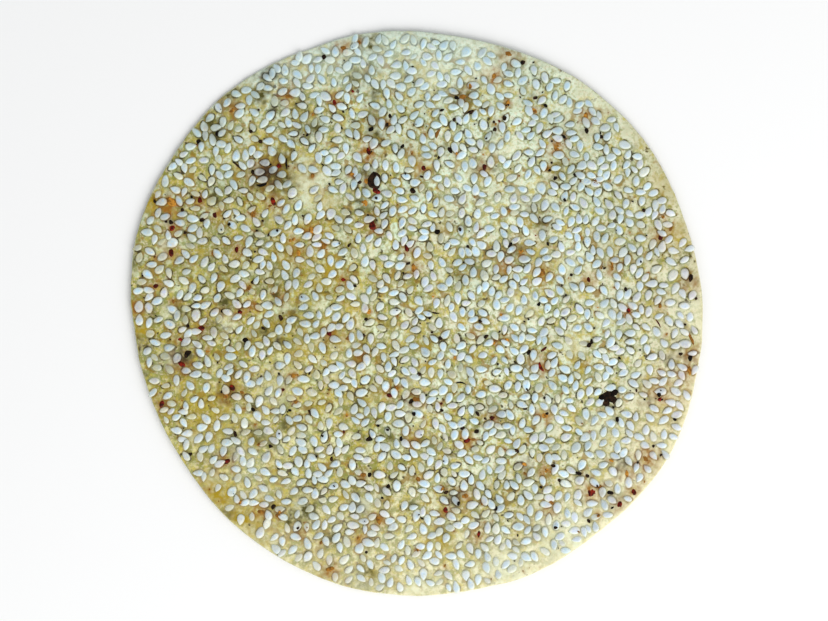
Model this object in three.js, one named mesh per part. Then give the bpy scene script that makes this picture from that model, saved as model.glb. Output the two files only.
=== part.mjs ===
// Sesame papad: a thin round sheet of dough, rolled out with sesame seeds and dried.
//
// Millimetres, +Z up. The origin is the middle of the bounding box, at the underside. The sheet
// lies on its flat middle, as it does on a table. Rolling and drying have left it a little uneven:
// the outline isn't quite round, the rim lifts off the table in soft waves, and the top swells and
// dips slightly. The solid's top is the height that the seeds stand to, over the dough.

import * as THREE from "three";

const DIAMETER = 150; // mean across the outline
const THICKNESS = 1.7; // the dough with the seeds that stand out of its top
const RIM_THICKNESS = 1.2; // at the rim, where the dough is almost bare
const RIM_TAPER = 10; // width of the band over which the top falls to the rim
const FLAT_RADIUS = 42; // the underside is flat inside this, and rests
const RIM_LIFT = 1.2; // mean height of the underside at the rim
const TOP_SWELL = 0.12; // how far the top rises and dips over the middle
const SWELL_LENGTH = 46; // from one swell of the top to the next

// What the rolling pin left: each row stretches the outline outwards in `count` places, by `share`
// of the radius, the first of them towards `toward` degrees from +X.
const OUTLINE_LOBES = [
  { count: 2, share: 0.015, toward: 145 },
  { count: 3, share: 0.007, toward: 25 },
  { count: 4, share: 0.005, toward: 60 },
  { count: 5, share: 0.003, toward: 40 },
  { count: 6, share: 0.002, toward: 45 },
  { count: 9, share: 0.002, toward: 10 },
  { count: 11, share: 0.002, toward: 0 },
];

// What drying left: each row raises the rim in `count` places, by `height`, and lowers it between.
const LIFT_LOBES = [
  { count: 1, height: 0.35, toward: -40 },
  { count: 2, height: 0.4, toward: 20 },
  { count: 3, height: 0.3, toward: 75 },
  { count: 5, height: 0.12, toward: 10 },
];

const SIDES = 96; // steps round the sheet
const FLAT_RINGS = 2; // steps out across the flat middle of the underside
const SLOPE_RINGS = 7; // steps on from there to the rim
const RIM_STEPS = 5; // steps round the rim's edge
const TOP_RINGS = 16; // steps back across the top

const RADIUS = DIAMETER / 2;
const RIM_RADIUS = RIM_THICKNESS / 2; // the rim is rounded, as thick as the dough there
const SHOULDER = RADIUS - RIM_RADIUS; // where the rounding of the rim starts

const { lerp, smoothstep, degToRad } = THREE.MathUtils;

// Half a section through an even sheet: along the underside, round the rim and back over the top.
function sectionProfile() {
  const points = [new THREE.Vector2(0, 0)];
  for (let ring = 1; ring <= FLAT_RINGS; ring += 1) {
    points.push(new THREE.Vector2((FLAT_RADIUS * ring) / FLAT_RINGS, 0));
  }
  for (let ring = 1; ring <= SLOPE_RINGS; ring += 1) {
    points.push(new THREE.Vector2(lerp(FLAT_RADIUS, SHOULDER, ring / SLOPE_RINGS), 0));
  }
  for (let step = 1; step < RIM_STEPS; step += 1) {
    const turn = degToRad(-90 + (180 * step) / RIM_STEPS);
    const out = SHOULDER + RIM_RADIUS * Math.cos(turn);
    const up = RIM_RADIUS + RIM_RADIUS * Math.sin(turn);
    points.push(new THREE.Vector2(out, up));
  }
  for (let ring = TOP_RINGS; ring >= 1; ring -= 1) {
    const radius = (SHOULDER * ring) / TOP_RINGS;
    const rise = smoothstep(SHOULDER - radius, 0, RIM_TAPER);
    points.push(new THREE.Vector2(radius, lerp(RIM_THICKNESS, THICKNESS, rise)));
  }
  points.push(new THREE.Vector2(0, THICKNESS));
  return points;
}

// How much further out than an even circle the outline is in this direction, as a share.
function outlineShare(angle) {
  let share = 0;
  for (const lobe of OUTLINE_LOBES) {
    share += lobe.share * Math.cos(lobe.count * (angle - degToRad(lobe.toward)));
  }
  return share;
}

// How far the sheet is off the table: nothing over the flat middle, and the most at the rim.
function lift(radius, angle) {
  let rimLift = RIM_LIFT;
  for (const lobe of LIFT_LOBES) {
    rimLift += lobe.height * Math.cos(lobe.count * (angle - degToRad(lobe.toward)));
  }
  const outward = Math.max(0, radius - FLAT_RADIUS) / (RADIUS - FLAT_RADIUS);
  return rimLift * outward ** 2;
}

// The slight unevenness of the top, which dies away towards the rim.
function topSwell(x, y, radius) {
  const turns = (2 * Math.PI) / SWELL_LENGTH;
  const waves = Math.sin(turns * x + 1) * Math.cos(turns * y - 0.5);
  return TOP_SWELL * waves * smoothstep(SHOULDER - radius, 0, RIM_TAPER);
}

// The uneven sheet: a lathe of the section, each of its points then moved as rolled and dried.
function sheetGeometry() {
  const geometry = new THREE.LatheGeometry(sectionProfile(), SIDES);
  geometry.rotateX(Math.PI / 2); // the lathe turns about Y, and the sheet lies across Z
  const position = geometry.getAttribute("position");
  for (let index = 0; index < position.count; index += 1) {
    const x = position.getX(index);
    const y = position.getY(index);
    const height = position.getZ(index);
    const radius = Math.hypot(x, y);
    const angle = Math.atan2(y, x);
    const stretch = 1 + outlineShare(angle) * (radius / RADIUS) ** 2;
    const isTop = height > RIM_RADIUS;
    const swell = isTop ? topSwell(x, y, radius) : 0;
    position.setXYZ(index, x * stretch, y * stretch, height + lift(radius, angle) + swell);
  }
  geometry.computeVertexNormals();
  return geometry;
}

// Puts the middle of the bounding box over the origin, with the underside at zero.
function centreOnBase(geometry) {
  geometry.computeBoundingBox();
  const { min, max } = geometry.boundingBox;
  geometry.translate(-(min.x + max.x) / 2, -(min.y + max.y) / 2, -min.z);
}

const doughMaterial = new THREE.MeshStandardMaterial({
  color: 0xb7b696, // pale greyish cream of dough and seeds together
  roughness: 0.75,
  metalness: 0,
});

const sheet = sheetGeometry();
centreOnBase(sheet);

const papad = new THREE.Mesh(sheet, doughMaterial);
papad.name = "papad";

const object = new THREE.Group();
object.add(papad);

export default object;
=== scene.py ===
"""A dried sesame papad: a thin round sheet of dough, full of sesame seeds and specks of spice.

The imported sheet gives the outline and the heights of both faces. The dough is remade from it as a
finer mesh with a crevice round every seed, and the seeds and specks are laid into that dough.

Shapes are worked out in millimetres, and turned into metres where a mesh is made.
"""

import itertools
import math
from dataclasses import dataclass, fields

import bpy
import numpy as np
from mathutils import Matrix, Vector
from mathutils.bvhtree import BVHTree
from mathutils.geometry import convex_hull_2d, delaunay_2d_cdt


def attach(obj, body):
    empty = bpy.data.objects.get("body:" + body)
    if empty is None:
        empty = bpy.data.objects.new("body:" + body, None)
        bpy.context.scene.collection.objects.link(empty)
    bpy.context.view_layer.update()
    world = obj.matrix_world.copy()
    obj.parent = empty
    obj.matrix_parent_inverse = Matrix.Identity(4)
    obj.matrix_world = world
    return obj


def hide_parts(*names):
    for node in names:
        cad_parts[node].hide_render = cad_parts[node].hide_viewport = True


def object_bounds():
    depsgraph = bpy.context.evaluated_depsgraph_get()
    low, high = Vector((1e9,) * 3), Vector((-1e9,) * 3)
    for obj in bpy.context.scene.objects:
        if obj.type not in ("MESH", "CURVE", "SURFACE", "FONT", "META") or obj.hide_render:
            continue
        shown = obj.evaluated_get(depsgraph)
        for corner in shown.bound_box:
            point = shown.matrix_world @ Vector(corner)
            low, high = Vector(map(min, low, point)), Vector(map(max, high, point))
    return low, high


MM = 0.001
TAU = 2 * math.pi

# The dough
DOUGH_SHARE = 0.64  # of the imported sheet's thickness; the rest is what the seeds stand out
LUMP_HEIGHT = 0.06  # how far rolling left the dough's top uneven
RIPPLE_HEIGHT = 0.03  # and its finer unevenness
PUCKER_HEIGHT = 0.07  # how far the dough swells up between the seeds
PUCKER_WIDTH = 0.9  # from a seed's side to the top of that swelling
CREVICE_DEPTH = 0.06  # how far the dough dips at a seed's side
CREVICE_WIDTH = 0.42  # from the seed's side to where the dough is level again
RIM_WANDER = 0.12  # how far the dough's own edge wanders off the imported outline
RIM_CORNERS = 720  # steps round the dough's edge
RIM_STEPS = 6  # steps over the dough's rounded edge, from its top to its underside

# The seeds
SEED_COUNT = 1820
SEED_LENGTH = 2.98
LENGTH_SPREAD = (1, 0.07, 0.82, 1.17)  # a seed's share of that: mean, deviation, least, most
ASPECT_SPREAD = (1.6, 0.13, 1.25, 1.9)  # and likewise its length over its width
SEED_THICKNESS = 0.84
SEED_TAPERS = (0.15, 0.65)  # 0 is an even oval; more draws one end out to a point
UNDER_SEED_COUNT = 620
BARE_RIM = 0.5  # mean width of the band at the rim that holds no seed
BARE_SIDE = 40  # the direction, in degrees, in which that band is widest
BARE_SIDE_WIDTH = 1.8  # what it is wider there

# Where the dough is thin of seeds: across, up, reach
BARE_PATCHES = [
    (-28, 34, 7), (-34, -2, 4), (23, 37, 5), (-49, -21, 4), (40, 55, 4), (-12, 42, 4),
    (-61, -41, 6), (-53, -51, 6), (-43, -59, 5),
]

# The specks that stand out, by kind: across, up, length, width, turn in degrees
LANDMARK_SPECKS = {
    "pepper": [
        (50.4, -22.3, 4.6, 4.0, 20), (48.8, -22.2, 2.4, 1.7, 5), (52.0, -21.0, 2.3, 1.7, 30),
        (49.9, -24.0, 1.7, 1.9, 80), (-11.2, 34.7, 4.0, 5.4, 0), (-15.0, 34.4, 1.4, 1.2, 60),
        (72.0, 9.1, 1.2, 2.6, -10), (-12.6, -33.2, 2.2, 1.5, 15), (14.0, 52.8, 2.4, 1.2, 35),
        (10.5, 56.7, 1.4, 1.1, 0), (-43.3, 37.3, 1.1, 1.6, 0), (15.8, -31.1, 1.9, 1.4, 20),
        (16.0, -26.6, 0.9, 1.8, 35), (44.7, 48.0, 1.2, 1.9, 20), (31.1, 56.6, 1.5, 1.1, 0),
        (20.5, 48.3, 1.1, 1.5, -20), (8.7, 42.8, 1.2, 1.7, 30), (-1.1, 32.2, 1.9, 1.3, -30),
        (-3.8, 44.0, 1.5, 1.0, 30), (-12.0, 48.5, 1.6, 1.2, 20), (-60.4, -10.8, 2.5, 1.8, 60),
        (-45.3, -7.1, 1.7, 1.4, 30), (-35.9, -1.4, 1.2, 1.8, 25), (-47.8, -31.8, 1.1, 1.7, 20),
        (-52.6, 47.2, 1.3, 1.5, 0), (-38.6, -35.1, 1.3, 1.2, 0), (-37.8, -50.9, 1.7, 1.4, 40),
        (-12.5, -42.6, 1.2, 1.7, -20), (-1.6, -23.2, 1.1, 1.7, -30), (5.4, 21.4, 1.7, 1.6, 0),
        (24.5, 17.9, 1.7, 0.9, 40), (50.7, -47.2, 1.8, 1.4, 0), (71.8, -12.0, 1.3, 1.6, 0),
        (69.3, -10.8, 1.2, 1.0, 45), (36.4, 35.5, 1.3, 1.2, 0), (42.6, -42.2, 2.2, 1.0, -15),
    ],
    "chilli": [
        (45.9, -47.2, 2.8, 2.2, 35), (-12.9, 42.8, 1.4, 2.8, 20), (-11.7, 22.9, 2.1, 2.8, -20),
        (-37.9, 29.2, 1.5, 2.6, 15), (-36.4, 38.8, 1.5, 1.3, 0), (-57.2, 29.6, 1.5, 1.6, 0),
        (-64.4, 22.3, 1.6, 2.0, 30), (-64.6, 15.7, 1.4, 2.4, 10), (-68.8, 7.2, 1.9, 1.5, 0),
        (-53.2, 25.8, 1.2, 1.8, 0), (-61.9, -13.5, 2.4, 1.3, -40), (-62.4, -6.9, 1.4, 1.2, 0),
        (-56.7, -4.0, 1.9, 1.9, 45), (-48.6, -19.6, 1.4, 1.9, 30), (-50.0, -39.0, 2.0, 1.5, 10),
        (-67.2, -23.9, 1.4, 2.2, -20), (-23.1, -5.5, 1.4, 1.5, 0), (-19.4, 8.7, 1.3, 1.2, 0),
        (-47.5, 16.8, 1.2, 1.8, 0), (-46.6, 0.3, 1.3, 1.2, 0), (-21.8, 55.6, 1.3, 1.7, 10),
        (-7.3, -21.6, 1.8, 1.2, 0), (13.2, -33.7, 2.2, 1.4, 20), (19.8, -27.7, 1.4, 1.1, -20),
        (7.5, -52.0, 1.6, 1.9, 25), (57.0, -47.0, 1.7, 1.8, 20), (53.4, -50.4, 1.6, 1.8, 0),
        (64.0, 19.9, 1.4, 1.7, 0), (16.3, -58.3, 1.1, 1.9, -10), (-2.7, 16.9, 1.1, 2.1, 15),
        (17.8, 38.5, 1.1, 1.7, 0), (1.7, 38.2, 1.4, 1.7, 0), (45.2, 8.8, 1.0, 1.6, 0),
        (55.7, 0.6, 1.3, 1.6, 20), (64.0, -22.7, 1.4, 1.1, 40), (-10.8, 32.2, 2.5, 1.5, -35),
    ],
    "spice": [
        (-64.8, 29.2, 2.8, 3.2, 60), (-13.9, 28.7, 2.4, 1.9, 70), (-27.8, 21.8, 1.4, 2.1, 20),
        (-31.2, 15.9, 1.4, 1.9, 0), (24.3, 68.1, 2.6, 1.6, -20), (20.3, 62.5, 1.3, 2.4, -25),
        (36.9, 43.6, 2.6, 1.8, 30), (44.4, 51.8, 1.6, 1.9, 0), (12.1, 56.9, 2.0, 1.7, 0),
        (33.1, 10.8, 2.3, 2.3, 0), (27.3, 16.2, 1.9, 1.5, 0), (51.4, 12.1, 1.1, 2.4, 0),
        (-22.8, -67.4, 2.8, 1.5, 25), (-10.1, -54.7, 1.5, 2.6, 10), (-0.2, -22.7, 2.3, 1.6, -20),
        (12.7, -48.2, 2.0, 1.7, 0), (34.1, -41.6, 1.2, 2.0, 0), (60.2, -38.4, 2.4, 1.4, -45),
        (-50.3, -21.9, 1.8, 1.6, 0), (-41.1, -52.3, 1.9, 1.4, 0), (-15.4, -59.3, 1.2, 2.0, 0),
        (-34.2, 57.1, 2.2, 1.1, 0), (-48.8, 53.4, 1.7, 1.3, 40), (-19.4, 69.9, 1.4, 1.2, 0),
        (-0.9, 12.1, 1.6, 2.8, 0), (33.8, -27.0, 2.0, 1.6, 0), (55.2, -42.2, 1.2, 2.0, 0),
        (71.7, -15.2, 1.0, 2.5, 0),
    ],
}

# The thin curved slivers, by kind: across, up, length, width, turn in degrees, bow of the middle
LANDMARK_SLIVERS = {
    "pepper": [
        (-47.5, 38.8, 3.4, 0.6, -40, 0.2), (11.6, -18.8, 3.2, 0.5, -10, 0.5),
        (4.7, 0.2, 2.4, 0.5, -10, -0.2), (-41.0, 33.9, 2.8, 0.7, 8, -0.3),
        (-34.3, 39.1, 3.6, 0.6, 92, 0.1),
    ],
    "chilli": [
        (33.1, -14.2, 3.4, 0.9, -60, -0.6), (33.3, -9.5, 2.4, 0.7, 35, -0.2),
        (63.5, -2.8, 2.6, 0.5, -60, 0.1),
    ],
    "spice": [
        (5.7, 47.0, 3.0, 1.0, 70, 0.4), (72.0, -7.0, 5.0, 1.0, -68, 0.3),
    ],
}

# How many more specks lie where chance put them, and how long the longest of them is
CHANCE_SPECKS = {"pepper": (260, 1.5), "chilli": (14, 1.3), "spice": (115, 1.8)}

# The seeds round the specks that stand out most: across, up, length, width, turn in degrees
LANDMARK_SEEDS = [
    (50.9, -19.7, 3.1, 2.0, 190), (47.6, -20.9, 2.5, 1.8, 220), (48.2, -23.5, 2.9, 2.0, 35),
    (53.1, -23.7, 2.5, 1.8, 240), (50.7, -25.8, 3.0, 2.1, 130), (54.1, -20.2, 2.4, 2.0, 0),
    (55.9, -22.0, 2.9, 1.9, 190), (-10.6, 34.9, 3.1, 1.8, 90), (-13.2, 38.5, 2.2, 1.8, 60),
    (-11.0, 39.3, 2.8, 1.7, 90), (-8.3, 38.9, 3.1, 1.8, 270), (-5.5, 38.4, 3.1, 1.9, 95),
    (-16.3, 37.2, 2.9, 1.6, 90), (-13.4, 31.7, 3.0, 2.1, 135), (-10.6, 30.3, 3.1, 2.1, 195),
    (-5.7, 34.5, 3.0, 2.1, 150), (-41.5, 37.2, 2.9, 2.0, 0), (-40.8, 35.1, 3.1, 2.0, 195),
    (-37.9, 37.8, 2.7, 1.9, 30), (-35.7, 36.5, 2.7, 2.0, 190), (-35.6, 40.7, 2.9, 1.9, 100),
    (-40.2, 39.6, 2.9, 1.9, 175), (-43.9, 39.4, 2.5, 2.1, 240), (-41.8, 41.8, 2.9, 2.1, 10),
    (-38.3, 42.7, 3.0, 2.3, 125), (-39.2, 45.3, 3.2, 2.1, 180), (-45.2, 41.6, 3.4, 2.0, 90),
    (-47.6, 41.5, 3.3, 2.2, 80),
]

# Where the dough is stained or pale, by kind: across, up, reach, strength
STAINS = {
    "pale": [
        (15, 30, 10, 0.2), (22, 43, 4, 0.4), (12, 38, 4, 0.3), (40, 13, 4, 0.4), (27, 30, 4, 0.4),
        (28, 2, 4, 0.3), (71, 0, 4, 0.6), (18, 66, 6, 0.5), (5, 62, 5, 0.5), (46, 54, 6, 0.4),
        (-28, 34.5, 5.5, 0.5), (48, -29, 4, 0.5), (35, -26, 4, 0.2), (0, -71, 4, 0.6),
        (24, -68, 6, 0.7), (40, -60, 7, 0.8), (-42, -60, 5, 0.4), (-45, -40, 12, 0.2),
        (-38, -20, 6, 0.3),
    ],
    "amber": [
        (-38, 37, 6, 0.8), (-24, 10, 5, 0.7), (-27, 22.5, 4, 0.7), (-34, 14, 6, 0.5),
        (-20, -8, 8, 0.35), (-55, -26, 9, 0.5), (-43, -55, 5, 0.6), (66, -27, 5, 0.35),
        (33, 10, 2.8, 0.7), (68, 20, 5, 0.5), (65, 33, 6, 0.35),
        (-52, -48, 5, 0.8), (-46, -54, 4, 0.8), (-66, -24, 5, 0.4), (-38, -4, 5, 0.5),
        (-31, -9, 5, 0.4),
    ],
    "rust": [
        (-40, 37, 4, 0.7), (-65, 28, 3.2, 0.9), (-12.6, 42.6, 2.6, 0.95), (-74, 1, 2.6, 0.75),
        (-61.5, -13.5, 3, 0.75), (-23, -68, 2.4, 0.75), (-1.5, -33, 2.2, 0.6), (15.8, -5, 1.8, 0.6),
        (32.8, -14, 2.6, 0.7), (45.6, -46.8, 2.6, 0.75), (60.5, -38.5, 3, 0.9), (64, -21, 4.5, 0.5),
        (70, -17, 3, 0.5), (72, -11.5, 2.6, 0.75), (72, 8, 2.4, 0.6), (36.8, 44.2, 2.6, 0.75),
        (24.4, 68, 2.4, 0.75),
    ],
    "olive": [
        (-36, 35.5, 3.6, 0.95), (-35, 41, 3, 0.7), (-27, 49, 3.6, 0.5), (-42.6, 57.4, 1.8, 0.7),
        (-54, 48, 3.4, 0.75), (-12, 71, 2.6, 0.8), (-12, 64, 1.8, 0.6), (-11, 58, 2, 0.75),
        (-11.5, 52, 2, 0.75), (-11.4, 47, 2.2, 0.75), (-14, 28.5, 2.4, 0.8), (-38, 10, 5, 0.45),
        (-50, 11, 5, 0.35), (-38, -4, 3, 0.35), (-49.5, -21, 2.8, 0.6), (-67, -24, 2.4, 0.4),
        (-22.5, -59, 2.6, 0.6), (26.2, -61, 1.6, 0.5), (12.5, 57, 3.2, 0.6), (38, 38, 2.6, 0.45),
        (26.5, 16.5, 2.2, 0.5), (-2.4, 11, 2.2, 0.4), (-4.4, 4, 2.2, 0.4),
    ],
    "soot": [
        (-40, 37, 3.3, 0.95), (-30, 46.5, 3.6, 0.35), (-12.4, 35, 3, 0.8), (-74.5, 14, 2.4, 0.5),
        (-72.6, -8.6, 2, 0.85), (-61, -11.5, 3.2, 0.7), (-15.3, -51, 2.4, 0.45),
        (14.5, 13, 2.6, 0.35), (30.5, 28, 2.4, 0.35), (22, -28, 5, 0.25), (20, -49, 5, 0.25),
        (28, -39.6, 2.4, 0.5), (67, -12.6, 2.6, 0.5),
    ],
}

# How many more lie where chance put them, and the share by which those at the right are stronger
# than those in the middle; below nothing, they are weaker
CHANCE_STAINS = {
    "pale": (60, 0.0), "amber": (110, -0.5), "rust": (14, -0.2), "olive": (95, -0.7),
    "soot": (22, -0.4),
}
CHANCE_STAIN_REACHES = (1.0, 2.6)
CHANCE_STAIN_STRENGTHS = (0.3, 0.8)
STAIN_RAGGEDNESS = 0.4  # the share by which a stain's reach varies
STAIN_WINDOW = 2.2  # reaches from its middle, within which a stain is worked out

# What each kind of speck leaves in the dough round it: its stain, how much further that reaches
# for each millimetre of the speck's length and width together, and its strength
SPECK_STAINS = {
    "chilli": ("rust", 0.33, 0.7), "spice": ("rust", 0.33, 0.7), "pepper": ("soot", 0.25, 0.4),
}
LANDMARK_STAIN_REACH = 1.0  # of the stain round a speck that stands out, before that is added
FAINT_STAIN_REACH = 0.3  # and round any other

# The colours of the stains, from the lowest to the topmost
STAIN_TINTS = {
    "pale": (232, 234, 200),
    "amber": (168, 142, 16),
    "rust": (150, 100, 14),
    "olive": (76, 72, 14),
    "soot": (56, 42, 12),
}


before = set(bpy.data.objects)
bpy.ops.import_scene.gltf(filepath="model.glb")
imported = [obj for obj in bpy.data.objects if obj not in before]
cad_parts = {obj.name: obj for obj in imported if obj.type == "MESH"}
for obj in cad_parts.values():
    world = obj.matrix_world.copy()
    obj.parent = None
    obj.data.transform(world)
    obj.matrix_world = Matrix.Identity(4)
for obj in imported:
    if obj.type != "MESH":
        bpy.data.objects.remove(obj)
cad_low, cad_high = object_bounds()
papad_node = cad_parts["papad"]
rng = np.random.default_rng(20)


# ---- tables, noise and places


def read_table(table, row, column):
    """A table's value between its entries. Its rows go round, and its columns stop at the last."""
    row_low = np.floor(row).astype(int)
    column_low = np.clip(np.floor(column).astype(int), 0, table.shape[1] - 2)
    up = row - row_low
    along = column - column_low
    near, far = (
        table[line % len(table), column_low] * (1 - along)
        + table[line % len(table), column_low + 1] * along
        for line in (row_low, row_low + 1)
    )
    return near * (1 - up) + far * up


def soft_noise(size, waves=12):
    """A function of place that wanders smoothly about zero, mostly within 1, over this many mm."""
    turns = rng.uniform(0, TAU, waves)
    lengths = size * rng.uniform(0.7, 1.8, waves)
    starts = rng.uniform(0, TAU, waves)

    def value(x, y):
        total = 0
        for turn, length, start in zip(turns, lengths, starts):
            total = total + np.sin((x * math.cos(turn) + y * math.sin(turn)) * TAU / length + start)
        return total / math.sqrt(waves)

    return value


def joined(*coordinates):
    """Arrays of coordinates, or of corners, as one array with a row for each place or face."""
    return np.stack(coordinates, axis=-1)


def ease(value, low, high):
    """0 up to low, 1 from high, and a smooth rise between."""
    share = np.clip((value - low) / (high - low), 0, 1)
    return share * share * (3 - 2 * share)


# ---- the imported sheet, read by rays

TURNS = 192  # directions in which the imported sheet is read
READINGS = 44  # places along each, from the middle to the rim
RIM_ROUNDING = 0.8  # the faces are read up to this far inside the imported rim, which is rounded
RAY_START = 100.0  # far above or below the sheet


def packed_outline():
    """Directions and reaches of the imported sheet's outline, seen from above."""
    plan = [vertex.co.xy / MM for vertex in papad_node.data.vertices]
    corners = np.array([plan[index] for index in convex_hull_2d(plan)])
    turns = np.arctan2(corners[:, 1], corners[:, 0])
    order = np.argsort(turns)
    return turns[order], np.hypot(corners[:, 0], corners[:, 1])[order]


OUTLINE_TURNS, OUTLINE_REACHES = packed_outline()
WIDEST = max(OUTLINE_REACHES)


def outline_reach(turn):
    """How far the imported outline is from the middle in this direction."""
    return np.interp(turn, OUTLINE_TURNS, OUTLINE_REACHES, period=TAU)


def read_packed_face(direction):
    """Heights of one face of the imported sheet, by direction and by share of the way to its rim."""
    tree = BVHTree.FromObject(papad_node, bpy.context.evaluated_depsgraph_get())
    heights = np.empty((TURNS, READINGS))
    for row, turn in enumerate(np.linspace(0, TAU, TURNS, endpoint=False)):
        reach = outline_reach(turn) - RIM_ROUNDING
        for column, share in enumerate(np.linspace(0, 1, READINGS)):
            out = share * reach
            start = Vector((out * math.cos(turn), out * math.sin(turn), -direction * RAY_START))
            hit = tree.ray_cast(start * MM, Vector((0, 0, direction)))[0]
            heights[row, column] = hit.z / MM
    return heights


PACKED_UNDERSIDE = read_packed_face(1)
PACKED_TOP = read_packed_face(-1)


def packed_height(face, x, y):
    """The height of that face at these places, which keeps its last value out over the rim."""
    turn = np.arctan2(y, x)
    share = np.hypot(x, y) / (outline_reach(turn) - RIM_ROUNDING)
    return read_table(face, turn % TAU / TAU * TURNS, np.clip(share, 0, 1) * (READINGS - 1))


# ---- the dough's faces and edge

UNDERSIDE_GAP = 0.1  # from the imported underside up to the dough's, so that its seeds touch down
UNDER_LUMP_HEIGHT = 0.03

dough_lumps = soft_noise(9)
dough_ripples = soft_noise(2.2)
under_lumps = soft_noise(5)
edge_sway = soft_noise(16)
edge_nicks = soft_noise(3.5)


def dough_underside(x, y):
    """The height of the dough's underside."""
    lumps = UNDER_LUMP_HEIGHT * under_lumps(x, y)
    return packed_height(PACKED_UNDERSIDE, x, y) + UNDERSIDE_GAP + lumps


def dough_level(x, y):
    """The height of the dough's top, but for its crevices."""
    low = packed_height(PACKED_UNDERSIDE, x, y)
    high = packed_height(PACKED_TOP, x, y)
    uneven = LUMP_HEIGHT * dough_lumps(x, y) + RIPPLE_HEIGHT * dough_ripples(x, y)
    return low + (high - low) * DOUGH_SHARE + uneven


def from_middle(turn, reach):
    return reach * np.cos(turn), reach * np.sin(turn)


def dough_reach(turn):
    """How far the dough's own edge is from the middle in this direction."""
    reach = outline_reach(turn)
    x, y = from_middle(turn, reach)
    sway = 0.8 * edge_sway(x, y) + 0.3 * edge_nicks(x, y)
    return reach - RIM_WANDER + RIM_WANDER * sway


# ---- charts that grains are stamped on


class Chart:
    """A square chart over the sheet: grains are stamped on it, and places are read off it."""

    reach = 80.0
    step = 0.1

    def __init__(self, blank):
        self.blank = blank
        side = round(2 * self.reach / self.step) + 1
        self.marks = np.arange(side) * self.step - self.reach
        self.values = np.full((side, side), blank)

    def span(self, middle, reach):
        """The rows or columns within reach of a place, as far as the chart goes."""
        first = int((middle - reach + self.reach) / self.step)
        last = first + int(2 * reach / self.step) + 2
        return slice(max(first, 0), min(last, len(self.values)))

    def window(self, x, y, reach):
        """The entries round a place, and how far across and up from it each of them lies."""
        rows = self.span(y, reach)
        columns = self.span(x, reach)
        across = self.marks[None, columns] - x
        up = self.marks[rows, None] - y
        return self.values[rows, columns], across, up

    def read(self, x, y):
        return read_table(self.values, (y + self.reach) / self.step, (x + self.reach) / self.step)


# ---- grains: seeds and specks

AS_COLUMN = np.s_[:, None]  # the index that makes an array a column


@dataclass
class Grains:
    """Seeds or specks: each array has an entry for each of them."""

    x: np.ndarray
    y: np.ndarray
    turn: np.ndarray  # the direction that the pointed end lies in
    half_length: np.ndarray
    half_width: np.ndarray
    taper: np.ndarray
    half_thickness: np.ndarray
    height: np.ndarray  # of the middle over the dough
    lean: np.ndarray  # how steeply the grain rises towards its pointed end
    roll: np.ndarray  # and across its width
    bow: np.ndarray  # how far the middle is bent aside
    tone: np.ndarray  # 0 to 1 by chance, for the finish
    warmth: np.ndarray  # 0 to 1 by chance, for the finish

    def those(self, wanted):
        """Only the grains that are wanted; an index may also give each array a new shape."""
        return Grains(*(getattr(self, field.name)[wanted] for field in fields(self)))

    def places(self, along, aside):
        """Across and up of places this far along each grain and aside of it, a row for each."""
        grains = self.those(AS_COLUMN)
        cosine = np.cos(grains.turn)
        sine = np.sin(grains.turn)
        x = grains.x + along * cosine - aside * sine
        y = grains.y + along * sine + aside * cosine
        return x, y


def toned_grains(*outlines, bow=0.0, **others):
    """Grains with these values, each with a tone and a warmth by chance."""
    count = len(outlines[0])
    bow = np.full(count, bow)
    return Grains(*outlines, bow=bow, tone=rng.random(count), warmth=rng.random(count), **others)


def squeeze(turn, taper):
    """How much narrower than an oval a tapered outline is, by the turn from its pointed end."""
    makes_up = 1 + 0.32 * taper  # for the width that the taper takes
    return makes_up * np.maximum(np.abs(np.sin(turn / 2)), 0.1) ** taper


def gap_to_outline(across, up, turn, half_length, half_width, taper):
    """About how far each place is outside a grain's outline; below nothing inside it."""
    along = across * math.cos(turn) + up * math.sin(turn)
    aside = np.abs(up * math.cos(turn) - across * math.sin(turn))
    narrowing = 1
    for _ in range(2):
        angle = np.arctan2(aside / (half_width * narrowing), along / half_length)
        narrowing = squeeze(angle, taper)
    oval = np.hypot(along / half_length, aside / (half_width * narrowing))
    return (1 - 1 / np.maximum(oval, 0.05)) * np.hypot(along, aside)


def oval_reach(bearing, turn, half_length, half_width):
    """How far an oval reaches from its middle in this direction."""
    along = half_width * math.cos(bearing - turn)
    aside = half_length * math.sin(bearing - turn)
    return half_length * half_width / math.hypot(along, aside)


class Crowd:
    """The grains laid so far, kept by square, so that a new one's neighbours are soon found."""

    square = 4.0

    def __init__(self):
        self.squares = {}

    def square_at(self, x, y):
        return math.floor(x / self.square), math.floor(y / self.square)

    def around(self, x, y):
        """The grains in the square at this place and in the eight round it."""
        column, row = self.square_at(x, y)
        for near in itertools.product((column - 1, column, column + 1), (row - 1, row, row + 1)):
            yield from self.squares.get(near, ())

    def closeness(self, x, y, *shape):
        """The least distance to a neighbour, as a share of what the two outlines take up."""
        least = 9.0
        for other_x, other_y, *other_shape in self.around(x, y):
            bearing = math.atan2(other_y - y, other_x - x)
            reach = oval_reach(bearing, *shape) + oval_reach(bearing, *other_shape)
            least = min(least, math.hypot(other_x - x, other_y - y) / reach)
        return least

    def add(self, x, y, *shape):
        """Keeps a grain. Its shape is its turn, half length and half width."""
        self.squares.setdefault(self.square_at(x, y), []).append((x, y, *shape))


# ---- laying the seeds

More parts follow.
